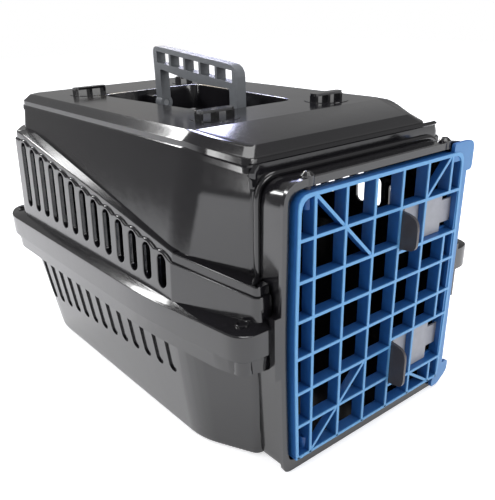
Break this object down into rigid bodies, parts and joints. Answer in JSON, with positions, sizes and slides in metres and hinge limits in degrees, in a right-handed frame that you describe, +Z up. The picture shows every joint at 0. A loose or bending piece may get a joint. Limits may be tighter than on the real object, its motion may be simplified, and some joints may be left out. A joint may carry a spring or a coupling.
{
  "type": "pet and bird travel carrier",
  "caption": "Moulded two-part travel carrier with sloped vent slots, a ribbed front door with two sliding latches, a folding top handle and strap loops.",
  "frame": {"origin": "on the ground, under the middle of the bounding box", "axes": "+Z up, the door faces -Y, +Y runs along the cabin to the rear wall, +X to the latch side of the door"},
  "size_m": [0.272, 0.4034, 0.268],
  "materials": {
    "shell_black": "glossy near-black polypropylene",
    "door_blue": "satin blue polypropylene",
    "dark_plastic": "dark brown-grey moulded plastic",
    "latch_grey": "light grey moulded plastic",
    "handle_grey": "satin mid grey moulded plastic",
    "steel": "zinc plated steel"
  },
  "bodies": {
    "carrier": {"lower_shell": "shell_black", "upper_shell": "shell_black", "handle_pin_front": "steel", "handle_pin_rear": "steel", "rim_screws": "steel", "rim_nuts": "steel", "strap_loop_front_left": "shell_black", "strap_loop_front_right": "shell_black", "strap_loop_rear_left": "shell_black", "strap_loop_rear_right": "shell_black"},
    "door": {"door_grid": "door_blue", "door_pin_upper": "dark_plastic", "door_pin_lower": "dark_plastic"},
    "latch_upper": {"latch_plate_upper": "latch_grey", "latch_tab_upper": "dark_plastic"},
    "latch_lower": {"latch_plate_lower": "latch_grey", "latch_tab_lower": "dark_plastic"},
    "handle": {"handle": "handle_grey"}
  },
  "joints": [
    {"name": "door_hinge", "type": "hinge", "parent": "carrier", "child": "door", "pos_m": [-0.0695, -0.17975, 0.1], "axis": [0, 0, -1], "range_deg": [0, 110]},
    {"name": "latch_upper_slide", "type": "slide", "parent": "door", "child": "latch_upper", "axis": [1, 0, 0], "range_m": [0, 0.011]},
    {"name": "latch_lower_slide", "type": "slide", "parent": "door", "child": "latch_lower", "axis": [1, 0, 0], "range_m": [0, 0.011]},
    {"name": "handle_fold", "type": "hinge", "parent": "carrier", "child": "handle", "pos_m": [0, 0.02975, 0.225], "axis": [0, 1, 0], "range_deg": [-90, 90]}
  ]
}
